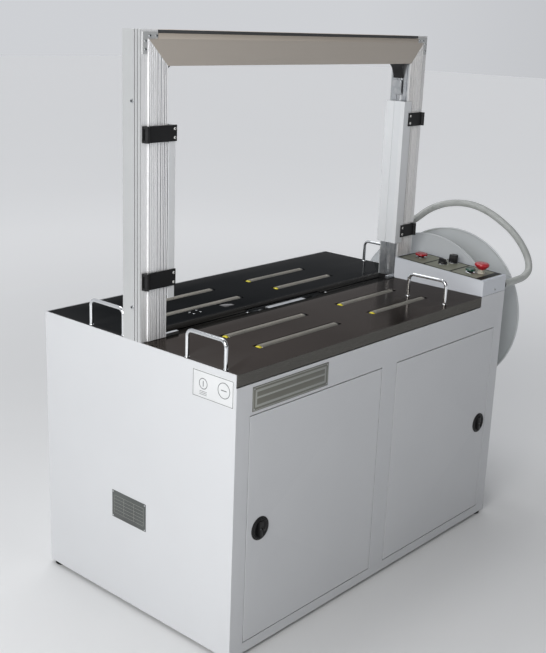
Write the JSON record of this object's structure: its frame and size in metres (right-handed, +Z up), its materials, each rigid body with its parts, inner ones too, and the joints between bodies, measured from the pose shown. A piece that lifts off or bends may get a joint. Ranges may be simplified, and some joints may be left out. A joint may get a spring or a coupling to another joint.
{
  "type": "strapping machine",
  "caption": "Carton strapping machine: sheet metal cabinet with hinged doors, lifting roller table, strap arch with side gates, sloping control box and side strap reel.",
  "frame": {"origin": "centre of the bounding box at floor level", "axes": "+Z up, +Y from the doors towards the rear panel, +X to the right along the doors, towards the strap reel"},
  "size_m": [1.443, 0.753, 1.51],
  "materials": {
    "cabinet_paint": "satin off-white powder coat",
    "frame_paint": "satin grey paint",
    "table_steel": "polished stainless sheet",
    "handle_chrome": "polished",
    "arch_aluminium": "satin anodised extrusion",
    "gate_sheet": "satin light grey paint",
    "black_paint": "satin black paint",
    "black_plastic": "matt",
    "box_paint": "satin light grey paint",
    "overlay_film": "matt olive film",
    "label_film": "satin film",
    "zinc_steel": "zinc plated",
    "roller_steel": "ground and plated",
    "red_plastic": "glossy",
    "green_plastic": "glossy",
    "reel_paint": "satin",
    "white_hose": "ribbed",
    "strap_plastic": "embossed strap",
    "motor_paint": "satin",
    "feed_rubber": "matt"
  },
  "bodies": {
    "machine": {"base_frame": "frame_paint", "front_frame": "cabinet_paint", "left_panel": "cabinet_paint", "right_panel": "cabinet_paint", "rear_panel": "cabinet_paint", "levelling_feet": "black_plastic", "slot_plate": "table_steel", "control_box": "box_paint", "control_overlay": "overlay_film", "label_plates": "label_film", "screws": "zinc_steel", "cable_glands": "black_plastic", "arch_left_column": "arch_aluminium", "arch_right_column": "arch_aluminium", "arch_beam": "arch_aluminium", "arch_covers": "arch_aluminium", "corner_plates": "arch_aluminium", "strap_track": "zinc_steel", "gate_hinges": "black_paint", "door_hinges": "zinc_steel", "table_pivots": "zinc_steel", "head_frame": "zinc_steel", "drive_motors": "motor_paint", "electric_box": "box_paint", "strap_magazine": "box_paint", "reel_bracket": "black_paint", "conduit_hose": "white_hose", "parcel_sensor": "black_plastic"},
    "left_door": {"left_door": "cabinet_paint"},
    "right_door": {"right_door": "cabinet_paint"},
    "left_latch": {"left_latch": "black_plastic"},
    "right_latch": {"right_latch": "black_plastic"},
    "red_button": {"red_button": "red_plastic"},
    "green_button": {"green_button": "green_plastic"},
    "stop_button": {"estop_button": "red_plastic"},
    "selector": {"selector_knob": "black_plastic"},
    "dial": {"tension_knob": "black_plastic"},
    "front_table": {"front_table_plate": "table_steel", "front_handles": "handle_chrome"},
    "rear_table": {"rear_table_plate": "table_steel", "rear_handles": "handle_chrome"},
    "left_gate": {"left_gate": "gate_sheet", "left_gate_arms": "black_paint"},
    "right_gate": {"right_gate": "gate_sheet", "right_gate_arms": "black_paint"},
    "reel": {"reel_hub": "zinc_steel", "reel_flanges": "reel_paint", "strap_coil": "strap_plastic"},
    "anvil": {"anvil_slide": "zinc_steel"},
    "cam_shaft": {"cam_shaft": "zinc_steel"},
    "feed_roller": {"feed_roller": "feed_rubber"},
    "pinch_roller": {"pinch_roller": "zinc_steel"},
    "roller_a_left": {"roller_a_left": "roller_steel"},
    "roller_a_right": {"roller_a_right": "roller_steel"},
    "roller_b_left": {"roller_b_left": "roller_steel"},
    "roller_b_right": {"roller_b_right": "roller_steel"},
    "roller_c_left": {"roller_c_left": "roller_steel"},
    "roller_c_right": {"roller_c_right": "roller_steel"},
    "roller_d_left": {"roller_d_left": "roller_steel"},
    "roller_d_right": {"roller_d_right": "roller_steel"}
  },
  "joints": [
    {"name": "left_door_swing", "type": "hinge", "parent": "machine", "child": "left_door", "pos_m": [-0.1525, -0.3595, 0.34], "axis": [0, 0, 1], "range_deg": [0, 90]},
    {"name": "right_door_swing", "type": "hinge", "parent": "machine", "child": "right_door", "pos_m": [-0.0645, -0.3595, 0.34], "axis": [0, 0, -1], "range_deg": [0, 90]},
    {"name": "left_latch_turn", "type": "hinge", "parent": "left_door", "child": "left_latch", "pos_m": [-0.621, -0.3685, 0.34], "axis": [0, -1, 0], "range_deg": [0, 90]},
    {"name": "right_latch_turn", "type": "hinge", "parent": "right_door", "child": "right_latch", "pos_m": [0.4035, -0.3685, 0.34], "axis": [0, 1, 0], "range_deg": [0, 90]},
    {"name": "red_button_press", "type": "slide", "parent": "machine", "child": "red_button", "axis": [0, 0.0581, -0.9983], "range_m": [0, 0.004], "stiffness_N_per_m": 300, "springref_m": -0.003},
    {"name": "green_button_press", "type": "slide", "parent": "machine", "child": "green_button", "axis": [0, 0.0581, -0.9983], "range_m": [0, 0.004], "stiffness_N_per_m": 300, "springref_m": -0.003},
    {"name": "stop_button_press", "type": "slide", "parent": "machine", "child": "stop_button", "axis": [0, 0.0581, -0.9983], "range_m": [0, 0.006], "stiffness_N_per_m": 400, "springref_m": -0.004},
    {"name": "selector_turn", "type": "hinge", "parent": "machine", "child": "selector", "pos_m": [0.4235, -0.1775, 0.81912], "axis": [0, -0.0581, 0.9983], "range_deg": [-45, 45]},
    {"name": "dial_turn", "type": "hinge", "parent": "machine", "child": "dial", "pos_m": [0.4675, -0.1885, 0.81847], "axis": [0, -0.0581, 0.9983], "range_deg": [-135, 135]},
    {"name": "front_table_lift", "type": "hinge", "parent": "machine", "child": "front_table", "pos_m": [-0.1835, -0.1085, 0.749], "axis": [-1, 0, 0], "range_deg": [0, 60]},
    {"name": "rear_table_lift", "type": "hinge", "parent": "machine", "child": "rear_table", "pos_m": [-0.1135, 0.2875, 0.749], "axis": [-1, 0, 0], "range_deg": [0, 75]},
    {"name": "left_gate_swing", "type": "hinge", "parent": "machine", "child": "left_gate", "pos_m": [-0.7085, -0.0495, 1.075], "axis": [0, 0, -1], "range_deg": [0, 30], "stiffness_Nm_per_rad": 0.6, "springref_deg": -11.46},
    {"name": "right_gate_swing", "type": "hinge", "parent": "machine", "child": "right_gate", "pos_m": [0.4395, -0.0495, 1.095], "axis": [0, 0, 1], "range_deg": [0, 30], "stiffness_Nm_per_rad": 0.6, "springref_deg": -11.46},
    {"name": "reel_spin", "type": "hinge", "parent": "machine", "child": "reel", "pos_m": [0.6015, -0.0575, 0.613], "axis": [1, 0, 0], "continuous": true},
    {"name": "roller_a_left_spin", "type": "hinge", "parent": "front_table", "child": "roller_a_left", "pos_m": [-0.3625, -0.2505, 0.747], "axis": [1, 0, 0], "continuous": true},
    {"name": "roller_a_right_spin", "type": "hinge", "parent": "front_table", "child": "roller_a_right", "pos_m": [0.083, -0.2505, 0.747], "axis": [1, 0, 0], "continuous": true},
    {"name": "roller_b_left_spin", "type": "hinge", "parent": "front_table", "child": "roller_b_left", "pos_m": [-0.3625, -0.1355, 0.747], "axis": [1, 0, 0], "continuous": true},
    {"name": "roller_b_right_spin", "type": "hinge", "parent": "front_table", "child": "roller_b_right", "pos_m": [0.083, -0.1355, 0.747], "axis": [1, 0, 0], "continuous": true},
    {"name": "roller_c_left_spin", "type": "hinge", "parent": "rear_table", "child": "roller_c_left", "pos_m": [-0.3625, 0.1125, 0.747], "axis": [1, 0, 0], "continuous": true},
    {"name": "roller_c_right_spin", "type": "hinge", "parent": "rear_table", "child": "roller_c_right", "pos_m": [0.083, 0.1125, 0.747], "axis": [1, 0, 0], "continuous": true},
    {"name": "roller_d_left_spin", "type": "hinge", "parent": "rear_table", "child": "roller_d_left", "pos_m": [-0.3625, 0.2275, 0.747], "axis": [1, 0, 0], "continuous": true},
    {"name": "roller_d_right_spin", "type": "hinge", "parent": "rear_table", "child": "roller_d_right", "pos_m": [0.083, 0.2275, 0.747], "axis": [1, 0, 0], "continuous": true},
    {"name": "anvil_travel", "type": "slide", "parent": "machine", "child": "anvil", "axis": [0, 1, 0], "range_m": [0, 0.015]},
    {"name": "cam_shaft_spin", "type": "hinge", "parent": "machine", "child": "cam_shaft", "pos_m": [-0.1385, -0.0085, 0.61], "axis": [1, 0, 0], "continuous": true},
    {"name": "feed_roller_spin", "type": "hinge", "parent": "machine", "child": "feed_roller", "pos_m": [-0.0285, -0.0085, 0.66], "axis": [0, 1, 0], "continuous": true},
    {"name": "pinch_roller_spin", "type": "hinge", "parent": "machine", "child": "pinch_roller", "pos_m": [-0.0285, -0.0085, 0.7003], "axis": [0, 1, 0], "continuous": true}
  ],
  "couplings": [
    {"joint": "pinch_roller_spin", "follows": "feed_roller_spin", "ratio": -1.5}
  ]
}
